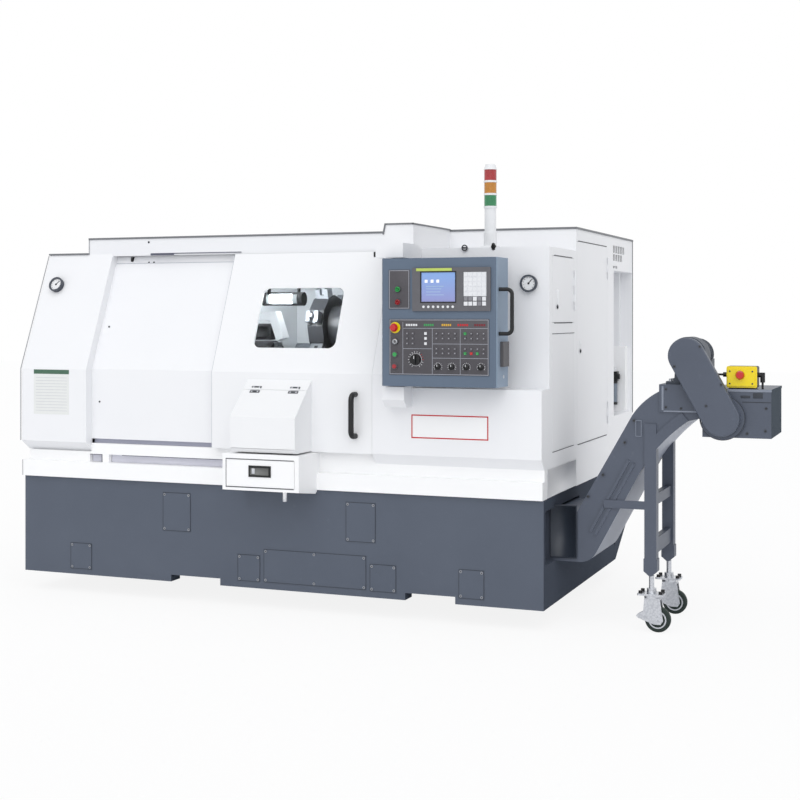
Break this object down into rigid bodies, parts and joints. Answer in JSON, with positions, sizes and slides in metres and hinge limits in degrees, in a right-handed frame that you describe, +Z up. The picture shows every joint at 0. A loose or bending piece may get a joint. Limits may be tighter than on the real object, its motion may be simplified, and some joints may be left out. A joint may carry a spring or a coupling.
{
  "type": "cnc turning lathe",
  "caption": "Slant-bed turning lathe in a full sheet-metal enclosure, with sliding door, swinging control box and side chip conveyor.",
  "frame": {"origin": "on the floor, under the middle of the machine's overall box", "axes": "+X to the machine's right as its operator sees it, along the spindle; +Y to its back; +Z up"},
  "size_m": [3.911, 2.186, 2.208],
  "materials": {
    "base_grey": "semi-gloss sprayed enamel, dark blue grey",
    "cover_grey": "semi-gloss sprayed enamel, a little worn",
    "shell_white": "smooth sprayed enamel, light",
    "sill_white": "smooth sprayed enamel, light grey",
    "conveyor_grey": "semi-gloss sprayed enamel, dark blue grey",
    "control_blue": "fine textured powder coat, blue grey",
    "display_grey": "moulded, matt",
    "panel_dark": "printed keypad foil, satin",
    "black_plastic": "moulded, matt",
    "estop_red": "moulded, glossy",
    "button_green": "moulded, glossy",
    "button_red": "moulded, glossy",
    "box_yellow": "moulded, glossy",
    "window_glass": "laminated safety glass, clear with a grey tint",
    "machine_steel": "ground and oiled",
    "chuck_steel": "turned and ground",
    "cast_grey": "painted grey casting",
    "chamber_grey": "galvanised sheet, painted light grey",
    "foot_black": "blackened casting",
    "zinc": "zinc plated",
    "wheel_green": "moulded rubber tread, dark green black",
    "cable_black": "moulded sheath, satin",
    "lamp_white": "frosted tube with black ends",
    "gauge_steel": "plated bezel with white dial",
    "tower_grey": "moulded, satin light grey",
    "lens_green": "tinted, fluted lens",
    "lens_amber": "tinted, fluted lens",
    "lens_red": "tinted, fluted lens",
    "belt_steel": "pressed hinged steel plates",
    "motor_grey": "hammered enamel",
    "handle_black": "moulded grip",
    "box_white": "smooth sprayed enamel",
    "air_blue": "moulded filter bowls"
  },
  "bodies": {
    "machine": {"base_skirt": "base_grey", "base_covers": "cover_grey", "levelling_feet": "foot_black", "sill_rail": "sill_white", "left_guard": "shell_white", "recess_panel": "shell_white", "front_roof": "shell_white", "right_housing": "shell_white", "rear_cabinet": "shell_white", "air_unit": "air_blue", "chamber_walls": "chamber_grey", "machine_bed": "cast_grey", "headstock": "cast_grey", "work_lamp": "lamp_white", "parts_box": "box_white", "pressure_gauges": "gauge_steel", "signal_tower": "tower_grey", "tower_lens_green": "lens_green", "tower_lens_amber": "lens_amber", "tower_lens_red": "lens_red", "conveyor_casing": "conveyor_grey", "conveyor_belt": "belt_steel", "discharge_head": "conveyor_grey", "chain_guard": "conveyor_grey", "gear_motor": "motor_grey", "stop_box": "box_yellow", "conveyor_cables": "cable_black", "conveyor_legs": "conveyor_grey", "caster_plates": "zinc"},
    "door": {"sliding_door": "shell_white", "door_window": "window_glass", "door_handle": "handle_black", "catcher_hood": "box_white"},
    "flap": {"catcher_flap": "box_white"},
    "drawer": {"parts_drawer": "box_white"},
    "side_hatch": {"service_door": "shell_white"},
    "electrical_door": {"cabinet_door": "shell_white"},
    "spindle": {"chuck_body": "chuck_steel"},
    "jaw_1": {"chuck_jaw_1": "machine_steel"},
    "jaw_2": {"chuck_jaw_2": "machine_steel"},
    "jaw_3": {"chuck_jaw_3": "machine_steel"},
    "carriage": {"saddle": "cast_grey"},
    "cross": {"cross_slide": "cast_grey"},
    "turret": {"turret_disc": "machine_steel", "tool_holders": "machine_steel"},
    "tailstock": {"tailstock_body": "cast_grey"},
    "quill": {"tailstock_quill": "machine_steel"},
    "control": {"control_box": "control_blue", "display_unit": "display_grey", "operator_panel": "panel_dark", "control_handle": "handle_black"},
    "estop": {"estop_button": "estop_red"},
    "cycle_start": {"start_button": "button_green"},
    "feed_hold": {"hold_button": "button_red"},
    "mode_selector": {"mode_knob": "black_plastic"},
    "conveyor_stop": {"conveyor_stop_button": "estop_red"},
    "caster_1": {"caster_fork_1": "zinc"},
    "caster_2": {"caster_fork_2": "zinc"},
    "wheel_1": {"caster_wheel_1": "wheel_green"},
    "wheel_2": {"caster_wheel_2": "wheel_green"}
  },
  "joints": [
    {"name": "door_slide", "type": "slide", "parent": "machine", "child": "door", "axis": [-1, 0, 0], "range_m": [0, 0.74]},
    {"name": "flap_hinge", "type": "hinge", "parent": "door", "child": "flap", "pos_m": [-0.4065, -0.94602, 1.11241], "axis": [-1, 0, 0], "range_deg": [0, 80]},
    {"name": "drawer_slide", "type": "slide", "parent": "machine", "child": "drawer", "axis": [0, -1, 0], "range_m": [0, 0.15]},
    {"name": "side_hatch_hinge", "type": "hinge", "parent": "machine", "child": "side_hatch", "pos_m": [0.9495, -0.292, 1.604], "axis": [0, 0, 1], "range_deg": [0, 100]},
    {"name": "electrical_door_hinge", "type": "hinge", "parent": "machine", "child": "electrical_door", "pos_m": [0.9495, 0.439, 1.34], "axis": [0, 0, 1], "range_deg": [0, 100]},
    {"name": "spindle_spin", "type": "hinge", "parent": "machine", "child": "spindle", "pos_m": [-0.9555, -0.307, 1.15], "axis": [1, 0, 0], "continuous": true},
    {"name": "jaw_1_slide", "type": "slide", "parent": "spindle", "child": "jaw_1", "axis": [0, 0, 1], "range_m": [-0.006, 0.006]},
    {"name": "jaw_2_slide", "type": "slide", "parent": "spindle", "child": "jaw_2", "axis": [0, -0.866, -0.5], "range_m": [-0.006, 0.006]},
    {"name": "jaw_3_slide", "type": "slide", "parent": "spindle", "child": "jaw_3", "axis": [0, 0.866, -0.5], "range_m": [-0.006, 0.006]},
    {"name": "carriage_slide", "type": "slide", "parent": "machine", "child": "carriage", "axis": [1, 0, 0], "range_m": [-0.05, 0.28]},
    {"name": "cross_feed", "type": "slide", "parent": "carriage", "child": "cross", "axis": [0, -0.7071, -0.7071], "range_m": [0, 0.15]},
    {"name": "turret_index", "type": "hinge", "parent": "cross", "child": "turret", "pos_m": [-0.5755, -0.0383, 1.4187], "axis": [1, 0, 0], "continuous": true},
    {"name": "tailstock_slide", "type": "slide", "parent": "machine", "child": "tailstock", "axis": [-1, 0, 0], "range_m": [0, 0.12]},
    {"name": "quill_feed", "type": "slide", "parent": "tailstock", "child": "quill", "axis": [-1, 0, 0], "range_m": [0, 0.12]},
    {"name": "control_swing", "type": "hinge", "parent": "machine", "child": "control", "pos_m": [0.2595, -0.964, 1.446], "axis": [0, 0, -1], "range_deg": [0, 90]},
    {"name": "estop_press", "type": "slide", "parent": "control", "child": "estop", "axis": [0, 1, 0], "range_m": [0, 0.006], "stiffness_N_per_m": 500},
    {"name": "cycle_start_press", "type": "slide", "parent": "control", "child": "cycle_start", "axis": [0, 1, 0], "range_m": [0, 0.003], "stiffness_N_per_m": 300},
    {"name": "feed_hold_press", "type": "slide", "parent": "control", "child": "feed_hold", "axis": [0, 1, 0], "range_m": [0, 0.003], "stiffness_N_per_m": 300},
    {"name": "mode_turn", "type": "hinge", "parent": "control", "child": "mode_selector", "pos_m": [0.3855, -1.069, 1.272], "axis": [0, -1, 0], "range_deg": [-150, 150]},
    {"name": "conveyor_stop_press", "type": "slide", "parent": "machine", "child": "conveyor_stop", "axis": [0, 1, 0], "range_m": [0, 0.005], "stiffness_N_per_m": 500},
    {"name": "caster_1_swivel", "type": "hinge", "parent": "machine", "child": "caster_1", "pos_m": [1.4065, -0.643, 0.14], "axis": [0, 0, 1], "continuous": true},
    {"name": "wheel_1_roll", "type": "hinge", "parent": "caster_1", "child": "wheel_1", "pos_m": [1.4365, -0.643, 0.06], "axis": [0, 1, 0], "continuous": true},
    {"name": "caster_2_swivel", "type": "hinge", "parent": "machine", "child": "caster_2", "pos_m": [1.4065, -0.21, 0.14], "axis": [0, 0, 1], "continuous": true},
    {"name": "wheel_2_roll", "type": "hinge", "parent": "caster_2", "child": "wheel_2", "pos_m": [1.4365, -0.21, 0.06], "axis": [0, 1, 0], "continuous": true}
  ],
  "couplings": [
    {"joint": "jaw_2_slide", "follows": "jaw_1_slide", "ratio": 1},
    {"joint": "jaw_3_slide", "follows": "jaw_1_slide", "ratio": 1}
  ]
}
